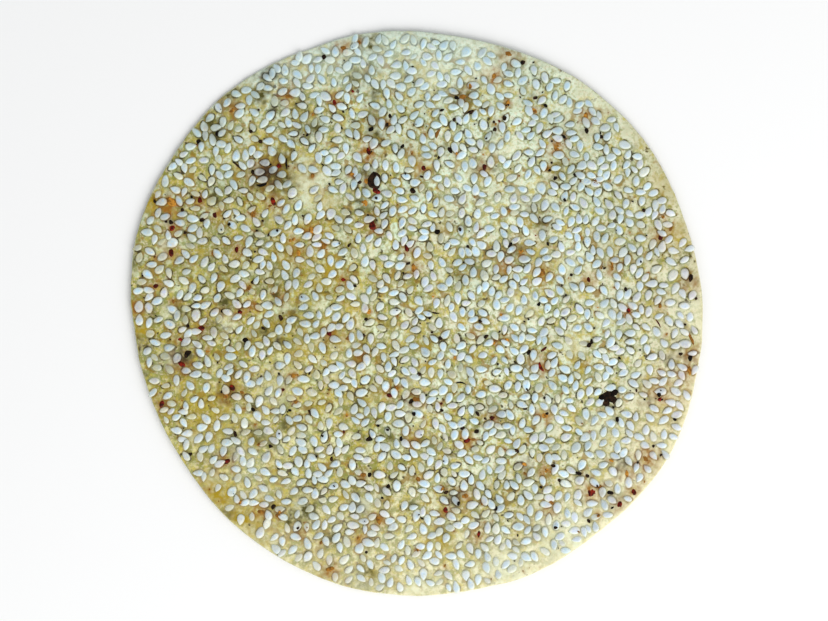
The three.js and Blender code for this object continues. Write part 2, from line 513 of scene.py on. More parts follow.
SPACING = 0.99  # the least distance between seeds, as a share of what their outlines take up
LOOSENESS = 0.24  # how much further apart they are where they lie loosely
BARE_LOOSENESS = 0.9  # and in the middle of a bare patch
STACKED_SHARE = 0.1  # of the seeds lie partly on others
STACKED_SPACING = 0.8
SUNKEN_SHARE = 0.2  # of the seeds have dough drawn over them, so that only their tops show
SUNKEN_FADE = 90  # the sum of across and up at which that share would fade to none
SUNKEN_BOUNDS = (0.2, 1.9)  # but it stays between these multiples of itself
GREY_SHARE = 0.36  # of the seeds are duller than the rest
PROUD_HEIGHTS = (0.26, 0.46)  # how far seeds stand out of the dough
SUNKEN_HEIGHTS = (0.06, 0.18)  # and sunken ones
STACKED_HEIGHT = 0.18  # how much further out those lie that are partly on others
STACKED_LEAN = 0.08  # and how much steeper
THICKNESS_SHARES = (0.9, 1.1)  # of SEED_THICKNESS
LEAN_DEVIATION = 0.05
ROLL_DEVIATION = 0.09
UNDER_SEED_DEPTHS = (0.02, 0.09)  # how far under the dough's underside its seeds come
UNDER_SEED_SPACING = 1.1  # SPACING for the underside's seeds
UNDER_INSET = 1.5  # how much wider the band without any is there
UNDER_THICKNESS_SHARES = (0.6, 0.75)
UNDER_DEVIATIONS = (0.01, 0.015)  # of their lean and roll
RIM_SEED_SHARE = 0.03  # of the seeds may lie in the bare band at the rim

seed_crowding = soft_noise(6)
rim_bareness = soft_noise(24)


def bareness(x, y):
    """How thin of seeds the dough is here, from 0 to 1."""
    bare = 0.0
    for patch_x, patch_y, reach in BARE_PATCHES:
        bare = max(bare, math.exp(-((x - patch_x) ** 2 + (y - patch_y) ** 2) / reach**2))
    return bare


def bare_band(x, y, bearing):
    """How wide the band without seeds is at the rim here."""
    toward = max(0.0, math.cos(bearing - math.radians(BARE_SIDE))) ** 3
    return BARE_RIM * (1 + 0.6 * rim_bareness(x, y)) + BARE_SIDE_WIDTH * toward


def normal_within(mean, deviation, least, most):
    return np.clip(rng.normal(mean, deviation), least, most)


def lay_seeds(count, crowd, spacing, inset=0.0, first=()):
    """Lays this many seeds over the sheet at random, clear of each other but for a few."""
    places = list(first)
    while len(places) < count:
        x, y = rng.uniform(-WIDEST, WIDEST, 2)
        turn = rng.uniform(0, TAU)
        half_length = 0.5 * SEED_LENGTH * normal_within(*LENGTH_SPREAD)
        half_width = half_length / normal_within(*ASPECT_SPREAD)
        stacked = rng.random() < STACKED_SHARE
        bearing = math.atan2(y, x)
        band = inset + max(bare_band(x, y, bearing), 0)
        if rng.random() < RIM_SEED_SHARE:
            band = 0.0
        if math.hypot(x, y) > outline_reach(bearing) - half_width - band:
            continue
        looseness = LOOSENESS * max(0.0, seed_crowding(x, y)) + BARE_LOOSENESS * bareness(x, y)
        needed = spacing * (1 + looseness)
        if stacked:
            needed = STACKED_SPACING
        if crowd.closeness(x, y, turn, half_length, half_width) < needed:
            continue
        crowd.add(x, y, turn, half_length, half_width)
        places.append((x, y, turn, half_length, half_width, stacked))
    return np.array(places).T


def top_seeds(crowd):
    """The seeds in the sheet's top, and which of them are sunken."""
    first = []
    for x, y, length, width, turn in LANDMARK_SEEDS:
        first.append((x, y, math.radians(turn), length / 2, width / 2, False))
        crowd.add(*first[-1][:5])
    *outlines, stacked = lay_seeds(SEED_COUNT, crowd, SPACING, first=first)
    count = len(stacked)
    leftward = np.clip(1 - (outlines[0] + outlines[1]) / SUNKEN_FADE, *SUNKEN_BOUNDS)
    sunken = (rng.random(count) < SUNKEN_SHARE * leftward) & (stacked == 0)
    sunken[: len(LANDMARK_SEEDS)] = False
    half_thickness = 0.5 * SEED_THICKNESS * rng.uniform(*THICKNESS_SHARES, count)
    low = rng.uniform(*SUNKEN_HEIGHTS, count)
    high = rng.uniform(*PROUD_HEIGHTS, count)
    proud = np.where(sunken, low, high) + STACKED_HEIGHT * stacked
    seeds = toned_grains(
        *outlines,
        taper=rng.uniform(*SEED_TAPERS, count),
        half_thickness=half_thickness,
        height=proud - half_thickness,
        lean=rng.normal(0, LEAN_DEVIATION, count)
        + STACKED_LEAN * stacked * rng.choice([-1, 1], count),
        roll=rng.normal(0, ROLL_DEVIATION, count),
    )
    return seeds, sunken


def underside_seeds():
    """The seeds pressed flush into the sheet's underside."""
    count = UNDER_SEED_COUNT
    placed = lay_seeds(count, Crowd(), UNDER_SEED_SPACING, UNDER_INSET)
    half_thickness = 0.5 * SEED_THICKNESS * rng.uniform(*UNDER_THICKNESS_SHARES, count)
    return toned_grains(
        *placed[:5],
        taper=rng.uniform(*SEED_TAPERS, count),
        half_thickness=half_thickness,
        height=half_thickness - rng.uniform(*UNDER_SEED_DEPTHS, count),
        lean=rng.normal(0, UNDER_DEVIATIONS[0], count),
        roll=rng.normal(0, UNDER_DEVIATIONS[1], count),
    )


# ---- laying the specks

SPECK_ROOM = 0.34  # seeds keep off the middle of a speck by this share of its length and width
SPECK_LEAST = 0.35  # the length of the smallest speck
SMALLNESS = 1.6  # more than 1 makes more of the chance specks small
SPECK_WIDTHS = (0.5, 0.95)  # of a chance speck, as a share of its length
SPECK_MARGIN = 1.5  # between the middles of chance specks and the rim
CHIP_THICKNESS = 0.7  # of the largest chips
PROUD_SHARES = (0.6, 1.3)  # how far chips stand out, as shares of what is usual for their kind
CHIP_SLOPE = 0.07  # the deviation of their lean and roll
CHIP_RISE = 0.1  # but it is less for long ones, so that they rise no more than this end to end
ON_SEED_SHARE = 0.25  # of the chance specks that fall on a seed stay there
ON_SEED_GAP = 0.05  # they count as on it up to this far off its outline
SEED_RISE = 0.34  # of a seed's top over the dough
BEDDED_LENGTH = 2.4  # specks longer than this lie in the dough, under the seeds that lap them


def specks_from(rows, proud):
    """Specks from rows like a sliver's; proud is how far they usually stand out of the dough."""
    x, y, length, width, turn, bow = np.array(rows, dtype=float).T
    count = len(x)
    half_thickness = 0.5 * np.minimum(0.4 * np.minimum(length, width) + 0.15, CHIP_THICKNESS)
    slope = np.minimum(CHIP_SLOPE, CHIP_RISE / length)
    return toned_grains(
        x, y, np.radians(turn), 0.5 * length, 0.5 * width,
        taper=np.zeros(count),
        half_thickness=half_thickness,
        height=proud * rng.uniform(*PROUD_SHARES, count) - half_thickness,
        lean=slope * rng.normal(0, 1, count),
        roll=slope * rng.normal(0, 1, count),
        bow=bow,
    )


def speck_level(specks, gap):
    """The heights that specks lie at: the dough's, and for the small ones on a seed, its top's."""
    rise = np.where(2 * specks.half_length > BEDDED_LENGTH, 0, SEED_RISE)[:, None]
    return lambda x, y: dough_level(x, y) + rise * ease(-gap.read(x, y), 0, 0.5)


def chance_rows(count, gap, largest):
    """Rows for specks laid at random, mostly in the dough between the seeds."""
    rows = []
    while len(rows) < count:
        x, y = rng.uniform(-WIDEST, WIDEST, 2)
        if math.hypot(x, y) > outline_reach(math.atan2(y, x)) - SPECK_MARGIN:
            continue
        if gap.read(x, y) < ON_SEED_GAP and rng.random() > ON_SEED_SHARE:
            continue
        length = SPECK_LEAST + (largest - SPECK_LEAST) * rng.random() ** SMALLNESS
        rows.append((x, y, length, length * rng.uniform(*SPECK_WIDTHS), rng.uniform(0, 360), 0.0))
    return rows


# ---- grain meshes

# A half section of each grain, from its top to its underside: how far out and how high
SEED_SECTION = (
    (0.34, 0.97), (0.58, 0.88), (0.76, 0.68), (0.88, 0.42), (0.96, 0.12), (1.0, -0.12),
    (0.75, -0.68),
)
CHIP_SECTION = ((0.55, 0.97), (0.9, 0.8), (1.0, 0.4), (0.8, -0.6))
SEED_CORNERS = 14  # round each ring
CHIP_CORNERS = 18
CHIP_SIDES = 6  # of a chip's angular outline
CHIP_SIDE_SWAY = 0.35  # how far a side faces from even, as a share of the turn from side to side
CHIP_SIDE_REACHES = (0.66, 1.06)  # how far out the sides are, as shares of the oval's reach
CHIP_CORNER_REACH = 1.3  # and the corners, at most
CHIP_ROUGHNESS = 0.12  # the share by which the heights of a chip's points vary
OUTLINE_ROUGHNESS = 0.2  # as a share of that, the share by which its outline does
SEED_WOBBLE = 0.03  # the share by which a seed's outline does, in each of three waves
TIP_THINNING = 0.25  # how much thinner a tapered seed is towards its point


def grain_template(section, corners):
    """A unit grain: rings of one outline, from its top to its underside, and triangles on them."""
    ring_reach, ring_height = np.array(section).T
    rings = len(section)
    steps = np.hypot(np.diff(ring_reach, prepend=0), np.diff(ring_height, prepend=1))
    path = np.cumsum(steps)
    path = path / (path[-1] + math.hypot(ring_reach[-1], ring_height[-1] + 1))
    around = np.arange(corners) * TAU / corners
    turn = np.concatenate([[0], np.tile(around, rings), [0]])
    reach = np.concatenate([[0], np.repeat(ring_reach, corners), [0]])
    height = np.concatenate([[1], np.repeat(ring_height, corners), [-1]])
    unfolded = np.concatenate([[0], np.repeat(path, corners), [1]])
    triangles = []
    last = len(turn) - 1
    for corner in range(corners):
        following = (corner + 1) % corners
        triangles.append((0, 1 + corner, 1 + following))
        for ring_start in range(1, last - corners, corners):
            here = ring_start + corner
            beside = ring_start + following
            triangles.append((here, here + corners, beside + corners))
            triangles.append((here, beside + corners, beside))
        triangles.append((last - corners + corner, last, last - corners + following))
    return turn, reach, height, unfolded, np.array(triangles)


def rounded_outline(count, turn):
    """How far out each grain's outline lies in these directions, as a share of its oval's reach."""
    wobble = np.ones((count, len(turn)))
    for waves in (2, 3, 5):
        start = rng.uniform(0, TAU, (count, 1))
        wobble += rng.uniform(0.2, 1, (count, 1)) * SEED_WOBBLE * np.cos(waves * turn + start)
    return wobble


def angular_outline(count, turn):
    """The same for chips, each with a few straight sides at chance distances."""
    sway = rng.uniform(-CHIP_SIDE_SWAY, CHIP_SIDE_SWAY, (count, CHIP_SIDES))
    facing = (np.arange(CHIP_SIDES) + sway) * TAU / CHIP_SIDES
    away = rng.uniform(*CHIP_SIDE_REACHES, (count, CHIP_SIDES))
    slant = np.maximum(np.cos(turn[None, :, None] - facing[:, None, :]), 0.2)
    sides = np.minimum((away[:, None, :] / slant).min(axis=2), CHIP_CORNER_REACH)
    ring = sides[:, 1:-1].reshape(count, -1, CHIP_CORNERS)
    ring = 0.7 * ring + 0.15 * (np.roll(ring, 1, axis=2) + np.roll(ring, -1, axis=2))
    sides[:, 1:-1] = ring.reshape(count, -1)
    return sides


def new_mesh(name, points, triangles, corner_places):
    """A smooth closed mesh from points in millimetres, with its bake map's places by corner."""
    mesh = bpy.data.meshes.new(name)
    mesh.from_pydata((points * MM).tolist(), [], triangles.tolist())
    mesh.shade_smooth()
    chart = mesh.uv_layers.new(name="OFBake")
    chart.data.foreach_set("uv", corner_places.astype(np.float32).ravel())
    return mesh


def add_attribute(mesh, name, values):
    attribute = mesh.attributes.new(name, "FLOAT", "POINT")
    attribute.data.foreach_set("value", values.astype(np.float32).ravel())


def new_object(name, data):
    made = bpy.data.objects.new(name, data)
    bpy.context.scene.collection.objects.link(made)
    return made


def new_piece(name, mesh, material):
    """A piece that rides on the sheet's body."""
    piece = new_object(name, mesh)
    mesh.materials.append(material)
    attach(piece, "root")
    return piece


def atlas_places(count, turn, unfolded):
    """Places on a square map for this many unfolded grains, each with a cell of its own."""
    across = math.ceil(math.sqrt(count))
    cell = np.arange(count)
    middle_x = (cell % across + 0.5) / across
    middle_y = (cell // across + 0.5) / across
    spread = 0.46 / across * unfolded
    x = middle_x[:, None] + spread * np.cos(turn)
    y = middle_y[:, None] + spread * np.sin(turn)
    return joined(x, y).reshape(-1, 2)


def grain_mesh(name, grains, surface, template, outline, roughness=0.0):
    """One joined mesh of all the grains, laid on a surface, which is a function of place."""
    turn, reach, height, unfolded, triangles = template
    count = len(grains.x)
    size = len(turn)
    column = grains.those(AS_COLUMN)
    out = reach * outline(count, turn)
    out = out * (1 + OUTLINE_ROUGHNESS * roughness * rng.uniform(-1, 1, (count, size)))
    along = column.half_length * np.cos(turn) * out
    aside = column.half_width * np.sin(turn) * out * squeeze(turn, column.taper)
    bend = column.bow * (1 - (along / column.half_length) ** 2)
    thinning = 1 - TIP_THINNING * column.taper * np.cos(turn) * reach
    rise = column.half_thickness * height * thinning
    rise = rise * (1 + roughness * rng.uniform(-1, 1, (count, size)))
    rise = rise + column.lean * along + column.roll * aside
    x, y = grains.places(along, aside + bend)
    z = surface(x, y) + column.height + rise
    points = joined(x, y, z).reshape(-1, 3)
    every = (triangles[None] + size * np.arange(count)[:, None, None]).reshape(-1, 3)
    places = atlas_places(count, turn, unfolded)
    mesh = new_mesh(name, points, every, places[every.ravel()])
    add_attribute(mesh, "edge", np.tile(np.where(height < 0, 1, reach), (count, 1)))
    add_attribute(mesh, "tip", np.tile(reach * (1 + np.cos(turn)) / 2, (count, 1)))
    add_attribute(mesh, "tone", np.repeat(grains.tone, size))
    add_attribute(mesh, "warmth", np.repeat(grains.warmth, size))
    return mesh


# ---- the dough's mesh

GRID_SPACING = 0.8  # of the dough's points where no seed is near
UNDER_SPACING = 1.4
CREVICE_RINGS = (-0.1, 0.14, 0.45)  # rings of points in each crevice, and just out of it
RING_CORNERS = 14
CREVICE_CLEARANCE = 0.1  # a ring's points may lie this much nearer to another seed than to its own
GRID_CLEARANCE = 0.25  # between the outermost ring and the points of the open dough
CREVICE_MARGIN = 0.9  # between the rings' points and the dough's edge
GRID_MARGIN = 1.0  # between the edge and the points of the open dough
UNDER_MARGIN = 1.4  # and beneath


def grid_places(spacing):
    """Places all over the sheet, in rows that are offset by half a step."""
    rise = spacing * math.sqrt(3) / 2
    count = math.ceil((WIDEST + spacing) / spacing)
    rows = math.ceil((WIDEST + spacing) / rise)
    row, column = np.mgrid[-rows : rows + 1, -count : count + 1]
    x = (column + 0.5 * (row % 2)) * spacing
    return joined(x, row * rise).reshape(-1, 2)


def within_edge(places, margin):
    """Those of the places that are at least this far inside the dough's edge."""
    x, y = places.T
    return places[np.hypot(x, y) < dough_reach(np.arctan2(y, x)) - margin]


def crevice_places(seeds, gap):
    """Places in rings round each seed, but for those that another seed covers."""
    turn = np.arange(RING_CORNERS) * TAU / RING_CORNERS
    column = seeds.those(AS_COLUMN)
    narrowing = squeeze(turn, column.taper)
    found = []
    for offset in CREVICE_RINGS:
        along = (column.half_length + offset) * np.cos(turn)
        aside = (column.half_width + offset) * np.sin(turn) * narrowing
        x, y = seeds.places(along, aside)
        clear = gap.read(x, y) > offset - CREVICE_CLEARANCE
        found.append(joined(x[clear], y[clear]))
    return np.concatenate(found)


def triangulated(outline, inner):
    """The triangles that join inner places to each other and to the outline round them."""
    places = np.concatenate([outline, inner])
    count = len(outline)
    loop = [(index, (index + 1) % count) for index in range(count)]
    vectors = [Vector(place) for place in places]
    found = delaunay_2d_cdt(vectors, loop, [], 1, 1e-5)
    origins = [origin[0] for origin in found[3]]
    return places, np.array([[origins[corner] for corner in face] for face in found[2]])


def edge_rings():
    """Rings over the dough's rounded edge, from its top round to its underside."""
    turn = np.arange(RIM_CORNERS) * TAU / RIM_CORNERS
    reach = dough_reach(turn)
    x, y = from_middle(turn, reach)
    low = dough_underside(x, y)
    half = (dough_level(x, y) - low) / 2
    rings = []
    for step in range(RIM_STEPS + 1):
        rise = math.pi / 2 - math.pi * step / RIM_STEPS
        x, y = from_middle(turn, reach - half * (1 - math.cos(rise)))
        rings.append(joined(x, y, low + half * (1 + math.sin(rise))))
    return rings


def dough_mesh(seeds, charts):
    """The sheet of dough as one closed mesh: its top, its rounded edge and its underside."""
    gap = charts["gap"]
    rings = edge_rings()
    crevices = within_edge(crevice_places(seeds, gap), CREVICE_MARGIN)
    grid = within_edge(grid_places(GRID_SPACING), GRID_MARGIN)
    grid = grid[gap.read(*grid.T) > CREVICE_RINGS[-1] + GRID_CLEARANCE]
    top_places, top_faces = triangulated(rings[0][:, :2], np.concatenate([crevices, grid]))
    under = within_edge(grid_places(UNDER_SPACING), UNDER_MARGIN)
    under_places, under_faces = triangulated(rings[-1][:, :2], under)

    x, y = top_places[RIM_CORNERS:].T
    near = gap.read(x, y)
    depth = CREVICE_DEPTH * (1 - ease(near, -0.05, CREVICE_WIDTH))
    swell = PUCKER_HEIGHT * (ease(near, 0, PUCKER_WIDTH) - 0.5)
    top_inner = joined(x, y, dough_level(x, y) - depth + swell)
    x, y = under_places[RIM_CORNERS:].T
    under_inner = joined(x, y, dough_underside(x, y))
    points = np.concatenate([rings[0], top_inner, *rings[1:], under_inner])

    ring_starts = [0] + [len(top_places) + RIM_CORNERS * step for step in range(RIM_STEPS)]
    corner = np.arange(RIM_CORNERS)
    following = (corner + 1) % RIM_CORNERS
    faces = [top_faces]
    for upper, lower in zip(ring_starts, ring_starts[1:]):
        faces.append(joined(upper + corner, lower + corner, lower + following))
        faces.append(joined(upper + corner, lower + following, upper + following))
    faces.append((under_faces + ring_starts[-1])[:, ::-1])
    triangles = np.concatenate(faces)
    places = dough_map_places(points, triangles, ring_starts, len(under_faces))
    mesh = new_mesh("dough", points, triangles, places)
    x, y = points[:, 0], points[:, 1]
    is_top = np.arange(len(points)) < len(top_places)
    for name, chart in charts.items():
        add_attribute(mesh, name, np.where(is_top, chart.read(x, y), chart.blank))
    return mesh


TOP_MAP_RADIUS = 0.375  # on the bake map, of the dough's top with its edge folded out round it
UNDER_MAP_RADIUS = 0.2
MAP_MARGIN = 0.01  # between those discs and the map's sides
MAP_ROOM = 2.0  # millimetres left on them round the sheet, for its folded edge


def dough_map_places(points, triangles, ring_starts, under_count):
    """Places on the bake map by corner: a large disc for the top and edge, a small one beneath."""
    plan = points[:, :2].copy()
    length = 0.0
    for upper, lower in zip(ring_starts, ring_starts[1:]):
        step = points[lower : lower + RIM_CORNERS] - points[upper : upper + RIM_CORNERS]
        length = length + np.linalg.norm(step, axis=1)
        edge = points[:RIM_CORNERS, :2]
        out = edge / np.linalg.norm(edge, axis=1)[:, None]
        plan[lower : lower + RIM_CORNERS] = edge + out * length[:, None]
    widest = WIDEST + MAP_ROOM
    top = plan / widest * TOP_MAP_RADIUS + TOP_MAP_RADIUS + MAP_MARGIN
    under = points[:, :2] / widest * UNDER_MAP_RADIUS + 1 - UNDER_MAP_RADIUS - MAP_MARGIN
    corners = triangles.ravel()
    places = top[corners]
    places[-3 * under_count :] = under[corners[-3 * under_count :]]
    return places


# ---- materials


def as_colour(tint):
    """A tint in the usual 0 to 255 values as the shaders take it. Sockets stay as they are."""
    if isinstance(tint, bpy.types.NodeSocket):
        return tint
    linear = []
    for value in tint:
        share = value / 255
        linear.append(share / 12.92 if share <= 0.04045 else ((share + 0.055) / 1.055) ** 2.4)
    return (*linear, 1.0)


class Finish:
    """A material whose nodes are added and linked by short calls, and painted layer by layer."""

    def __init__(self, name, base, roughness, specular, subsurface=0.0):
        self.material = bpy.data.materials.new(name)
        self.material.use_nodes = True
        self.nodes = self.material.node_tree.nodes
        self.links = self.material.node_tree.links
        self.shader = self.nodes["Principled BSDF"]
        self.shader.inputs["Roughness"].default_value = roughness
        self.shader.inputs["Specular IOR Level"].default_value = specular
        self.shader.inputs["Subsurface Weight"].default_value = subsurface
        self.shader.inputs["Subsurface Radius"].default_value = (1.0, 0.75, 0.45)
        self.shader.inputs["Subsurface Scale"].default_value = 0.6 * MM
        self.places = self.node("ShaderNodeTexCoord", "Object", {})
        self.noises = 0
        self.base = base

    def node(self, kind, output, inputs, **settings):
        """That output of a new node, with its inputs linked to sockets or set to values."""
        node = self.nodes.new(kind)
        for name, value in settings.items():
            setattr(node, name, value)
        for key, value in inputs.items():
            self.feed(node.inputs[key], value)
        return node.outputs[output]

    def feed(self, socket, value):
        if isinstance(value, bpy.types.NodeSocket):
            self.links.new(value, socket)
        else:
            socket.default_value = value

    def cloud(self, size, detail, number):
        """Cloudy noise from 0 to 1 over about this many mm, with a pattern for each number."""
        inputs = {"Vector": self.places, "W": number, "Scale": 1 / (size * MM), "Detail": detail}
        return self.node("ShaderNodeTexNoise", "Fac", inputs, noise_dimensions="4D")

    def noise(self, size, detail=2.0):
        """A cloud unlike every other in this material."""
        self.noises += 1
        return self.cloud(size, detail, 3.7 * self.noises)

    def shade_patches(self, most, least=0.0):
        """Alike in every material: painted shade, where the sheet is darker over some millimetres.
        """
        return self.spread(self.cloud(7, 2.0, 0.5), 0.46, 0.62, most, least)

    def attribute(self, name):
        return self.node("ShaderNodeAttribute", "Fac", {}, attribute_name=name)

    def spread(self, value, low, high, most=1.0, least=0.0):
        """least where value is low or beyond, most where it is high or beyond, even between."""
        inputs = {"Value": value, "From Min": low, "From Max": high}
        inputs |= {"To Min": least, "To Max": most}
        return self.node("ShaderNodeMapRange", "Result", inputs)

    def product(self, first, second):
        return self.node("ShaderNodeMath", 0, {0: first, 1: second}, operation="MULTIPLY")

    def total(self, first, second):
        return self.node("ShaderNodeMath", 0, {0: first, 1: second}, operation="ADD")

    def mix(self, share, first, second):
        """The first colour with this share of the second over it. Either may be a socket."""
        inputs = {0: share, 6: as_colour(first), 7: as_colour(second)}
        return self.node("ShaderNodeMix", 2, inputs, data_type="RGBA")

    def paint(self, share, tint):
        """Lays this share of a tint over what is painted so far."""
        self.base = self.mix(share, self.base, tint)

    def toward(self, bearing, start, end, most):
        """Nothing up to start, in mm from the middle towards this bearing, and most from end on."""
        turn = math.radians(bearing)
        inputs = {0: self.places, 1: (math.cos(turn), math.sin(turn), 0)}
        along = self.node("ShaderNodeVectorMath", "Value", inputs, operation="DOT_PRODUCT")
        return self.spread(along, start * MM, end * MM, most)

    def drift(self, drifts):
        """Paints tints over one side each, from rows of what toward takes, then the tint."""
        for *course, tint in drifts:
            self.paint(self.toward(*course), tint)

    def finish(self, bump_height, bump_distance):
        """Sets the base colour and the fine relief, and returns the material."""
        self.feed(self.shader.inputs["Base Color"], self.base)
        inputs = {"Height": bump_height, "Distance": bump_distance * MM, "Strength": 1.0}
        self.feed(self.shader.inputs["Normal"], self.node("ShaderNodeBump", "Normal", inputs))
        return self.material


# Tints over one side of the dough, partly its colour by region and partly painted light: bearing,
# start, end, most, tint
DOUGH_TINT_AND_LIGHT_DRIFTS = (
    (180, -10, 78, 0.8, (232, 224, 124)),
    (-125, 20, 78, 0.85, (228, 208, 86)),
    (140, 10, 78, 0.6, (162, 196, 196)),
    (60, 10, 78, 0.8, (228, 244, 216)),
    (-75, 20, 78, 0.9, (255, 252, 218)),
    (-30, 45, 78, 0.7, (255, 246, 200)),
    (10, 45, 76, 0.5, (255, 234, 196)),
    (98, 25, 76, 0.75, (226, 246, 230)),
    (-10, 10, 60, 0.22, (172, 170, 126)),
)
# and painted light and shade over its mottles and seams along the rim: pale at the bottom and lower
# right, bluish grey at the top
RIM_LIGHT_AND_SHADE_DRIFTS = (
    (-95, 45, 74, 0.3, (246, 240, 198)),
    (-40, 52, 75, 0.4, (255, 248, 206)),
    (95, 56, 74, 0.5, (204, 222, 212)),
)
# and over the seeds, partly their colour by region and partly painted light, paler towards the
# bottom and the right edge
SEED_TINT_AND_LIGHT_DRIFTS = (
    (20, 0, 70, 0.15, (184, 200, 184)),
    (98, 25, 75, 0.35, (188, 222, 224)),
    (-100, 20, 75, 0.35, (236, 240, 234)),
    (-5, 45, 75, 0.35, (244, 234, 232)),
)

# What stains do to the seams in them, and to the seeds over them: how much, and the tint
SEAM_STAINS = {"rust": (0.7, (110, 54, 8)), "soot": (1.0, (30, 20, 8))}
SEED_STAINS = {
    "rust": (0.35, (190, 130, 80)), "olive": (0.4, (130, 130, 80)), "soot": (0.6, (90, 98, 104)),
}

# The tints of each kind of seed: two usual skins and a rare one, the rim, which is a painted
# highlight, the shade, the side, partly coloured by the dough and partly painted shade, and what the
# seeds at the left are tinged with
SEED_TINTS = {
    "white_seed": (
        (192, 232, 255), (212, 224, 246), (230, 236, 216), (246, 250, 236), (178, 198, 214),
        (222, 230, 206), (208, 206, 178),
    ),
    "grey_seed": (
        (184, 214, 238), (200, 206, 222), (214, 218, 194), (236, 238, 216), (158, 168, 178),
        (206, 212, 180), (202, 194, 168),
    ),
    "sunken_seed": (
        (194, 206, 198), (200, 198, 190), (208, 210, 176), (222, 222, 190), (172, 172, 144),
        (196, 194, 154), (190, 180, 112),
    ),
}


def dough_material():
    """Pale dried dough, mottled with olive and rust, darker round the seeds partly in painted shade,
    with spice stains.
    """
    dough = Finish("dried_dough", (252, 255, 230), roughness=0.6, specular=0.3, subsurface=0.04)
    gap = dough.attribute("gap")
    dough.paint(dough.spread(dough.noise(8, 3.0), 0.36, 0.64), (228, 253, 230))
    # Colour by region, with painted light: palest towards the bottom and lower right
    dough.drift(DOUGH_TINT_AND_LIGHT_DRIFTS)
    dough.paint(dough.spread(dough.noise(1.8, 3.0), 0.52, 0.66, 0.4), (238, 242, 206))

    # The mottles
    leftward = dough.toward(208, -60, 70, 0.13)
    near = dough.spread(gap, 0.9, 0.0, 0.1)
    prone = dough.total(near, leftward)
    amber = dough.total(dough.noise(2.5, 3.0), prone)
    dough.paint(dough.spread(amber, 0.56, 0.67, 0.85), (194, 176, 18))
    olive = dough.total(dough.noise(1.8, 3.0), prone)
    dough.paint(dough.spread(olive, 0.585, 0.695, 0.85), (124, 128, 32))
    dough.paint(dough.spread(dough.noise(0.6), 0.5, 0.62, 0.55), (238, 222, 196))
    dough.paint(dough.spread(dough.noise(0.7), 0.5, 0.62, 0.5), (146, 152, 90))
    dough.paint(dough.spread(gap, 0.7, 1.6, 0.35), (196, 194, 146))

    # The seams round the seeds: partly the dough's tint, partly painted shade round them, in the
    # crevices and between close seeds
    browner = dough.spread(dough.total(dough.noise(4), leftward), 0.54, 0.64)
    outlined = dough.spread(dough.noise(2.6), 0.36, 0.6, 1.0, 0.3)
    # A darker band round each seed, partly tint and partly painted shade
    halo_tint_and_shade = dough.mix(browner, (184, 198, 158), (180, 166, 104))
    dough.paint(dough.product(dough.spread(gap, 0.9, 0.2, 0.3), outlined), halo_tint_and_shade)
    rusty = dough.total(dough.noise(2.6), near)
    dough.paint(dough.spread(rusty, 0.62, 0.7, 0.8), (146, 112, 22))
    # Darker at each seed's side, partly tint and partly painted crevice shade
    crevice_tint_and_shade = dough.mix(browner, (142, 156, 128), (146, 128, 80))
    dough.paint(dough.product(dough.spread(gap, 0.34, 0.0, 0.95), outlined), crevice_tint_and_shade)
    # Painted shade where two seeds lie close together
    wedge_shade = dough.mix(browner, (106, 110, 72), (100, 70, 34))
    dough.paint(dough.spread(dough.attribute("second"), 0.55, 0.05, 0.5), wedge_shade)
    # Painted shadow: dark arcs along parts of the seeds' outlines
    shadow_arc = dough.spread(dough.noise(2.0), 0.52, 0.6, 0.95)
    dough.paint(dough.product(dough.spread(gap, 0.5, 0.15), shadow_arc), (44, 34, 12))

    dough.paint(dough.spread(dough.noise(1.5), 0.66, 0.72, 0.95), (44, 36, 12))
    # Painted shade in patches, alike over the dough and the seeds
    dough.paint(dough.shade_patches(0.24, 0.07), (126, 114, 36))
    # Painted light and shade along the rim
    dough.drift(RIM_LIGHT_AND_SHADE_DRIFTS)
    for kind, tint in STAIN_TINTS.items():
        mottle = dough.spread(dough.noise(1.5, 3.0), 0.4, 0.6, 1.4, 0.5)
        dough.paint(dough.product(dough.attribute(kind), mottle), tint)
    for kind, (most, tint) in SEAM_STAINS.items():
        dough.paint(dough.product(dough.spread(gap, 0.5, 0.1, most), dough.attribute(kind)), tint)
    return dough.finish(dough.noise(0.8, 3.0), 0.14)


def seed_material(name):
    """A seed's skin: a face in one of three tints with a pale rim of painted highlight round it,
    each seed with its own tone.
    """
    sky, lilac, cream, rim, shade, side, left = SEED_TINTS[name]
    seed = Finish(name, sky, roughness=0.4, specular=0.45, subsurface=0.08)
    warmth = seed.attribute("warmth")
    tone = seed.attribute("tone")
    edge = seed.attribute("edge")
    seed.paint(seed.spread(warmth, 0.52, 0.68), lilac)
    seed.paint(seed.spread(warmth, 0.86, 0.95), cream)
    seed.paint(seed.spread(seed.noise(0.9), 0.5, 0.62, 0.5), rim)
    seed.paint(seed.spread(seed.noise(0.8), 0.52, 0.64, 0.5), shade)
    seed.paint(seed.spread(tone, 0.3, 1.0, 0.6), shade)
    # Painted highlight: a pale rim round each seed's face
    seed.paint(seed.spread(edge, 0.45, 0.8, 0.7), rim)
    seed.paint(seed.spread(seed.attribute("tip"), 0.7, 0.95, 0.8), rim)
    seed.paint(seed.spread(tone, 0.4, 1.0, 0.3), shade)
    # The side: partly coloured by the dough round it, partly painted shade
    seed.paint(seed.spread(edge, 0.74, 0.96, 0.85), side)
    creamy = seed.spread(seed.noise(1.2), 0.42, 0.56)
    seed.paint(seed.product(creamy, seed.toward(190, -30, 50, 0.5)), left)
    # Painted shade in patches, alike over the seeds and the dough
    seed.paint(seed.shade_patches(0.35), (150, 164, 156))
    # Colour by region, with painted light: paler towards the bottom and the right edge
    seed.drift(SEED_TINT_AND_LIGHT_DRIFTS)
    for kind, (most, tint) in SEED_STAINS.items():
        seed.paint(seed.product(seed.attribute(kind), most), tint)
    return seed.finish(seed.noise(0.35), 0.03)


